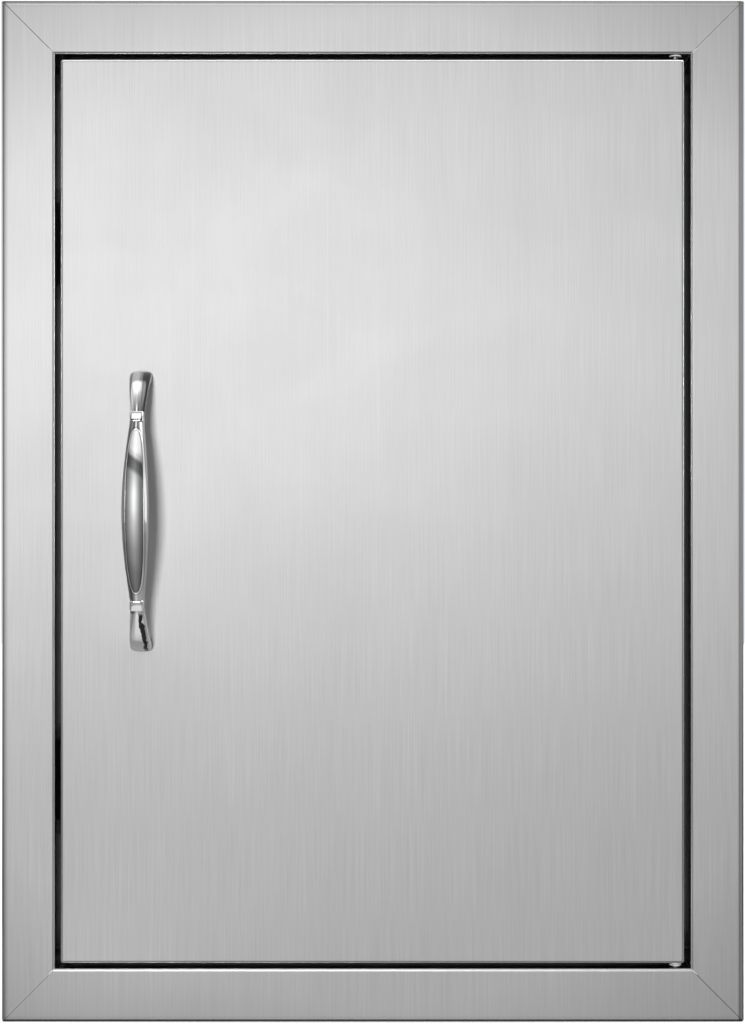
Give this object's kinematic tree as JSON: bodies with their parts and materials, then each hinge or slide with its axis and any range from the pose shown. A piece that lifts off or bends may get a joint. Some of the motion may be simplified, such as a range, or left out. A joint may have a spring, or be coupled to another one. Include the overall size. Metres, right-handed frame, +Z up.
{
  "type": "bbq island access door",
  "caption": "Flush access door for an outdoor kitchen island: a brushed steel door with a bow handle on lift-off pivot pins in a mitred frame, held shut by magnetic catches",
  "frame": {"origin": "centre of the wall cut-out that the frame lines, in the plane of the wall's face", "axes": "X along the wall towards the hinge side, Y into the wall, Z up; the door's front faces -Y"},
  "size_m": [0.4064, 0.085, 0.5588],
  "materials": {
    "brushed_sheet": "stainless sheet with a fine vertical brushed grain",
    "inner_sheet": "dull stainless sheet, mill finish",
    "polished_casting": "polished, with a satin oval panel on the front of the bow",
    "zinc_steel": "bright zinc plate",
    "plated_steel": "nickel plate",
    "pin_steel": "turned stainless bar",
    "screw_steel": "stainless, machined",
    "spring_steel": "drawn spring wire and strip",
    "white_nylon": "natural nylon",
    "black_plastic": "moulded, fine grain",
    "ferrite": "sintered ferrite, dull"
  },
  "bodies": {
    "frame": {"top_rail": "brushed_sheet", "bottom_rail": "brushed_sheet", "latch_stile": "brushed_sheet", "hinge_stile": "brushed_sheet", "upper_pivot_plate": "zinc_steel", "lower_pivot_plate": "zinc_steel", "upper_pivot_bushing": "white_nylon", "lower_pivot_pin": "pin_steel", "thrust_washer": "white_nylon", "upper_catch_housing": "black_plastic", "lower_catch_housing": "black_plastic", "upper_catch_magnet": "ferrite", "lower_catch_magnet": "ferrite", "upper_catch_poles": "plated_steel", "lower_catch_poles": "plated_steel", "upper_catch_screws": "screw_steel", "lower_catch_screws": "screw_steel"},
    "door": {"door_skin": "brushed_sheet", "door_liner": "inner_sheet", "latch_side_stiffener": "inner_sheet", "hinge_side_stiffener": "inner_sheet", "upper_pivot_bracket": "zinc_steel", "lower_pivot_bracket": "zinc_steel", "upper_guide_bushing": "white_nylon", "lower_pivot_bushing": "white_nylon", "handle": "polished_casting", "handle_backing_plate": "zinc_steel", "handle_screws": "screw_steel", "upper_strike_plate": "plated_steel", "lower_strike_plate": "plated_steel", "release_spring": "spring_steel"},
    "release": {"release_pin": "pin_steel", "release_lever": "zinc_steel", "pin_clip": "spring_steel"}
  },
  "joints": [
    {"name": "door_swing", "type": "hinge", "parent": "frame", "child": "door", "pos_m": [0.1661, -0.003, 0], "axis": [0, 0, 1], "range_deg": [0, 110]},
    {"name": "pin_release", "type": "slide", "parent": "door", "child": "release", "axis": [0, 0, -1], "range_m": [0, 0.008], "stiffness_N_per_m": 1000, "springref_m": -0.005, "deforming": ["release_spring"]}
  ]
}
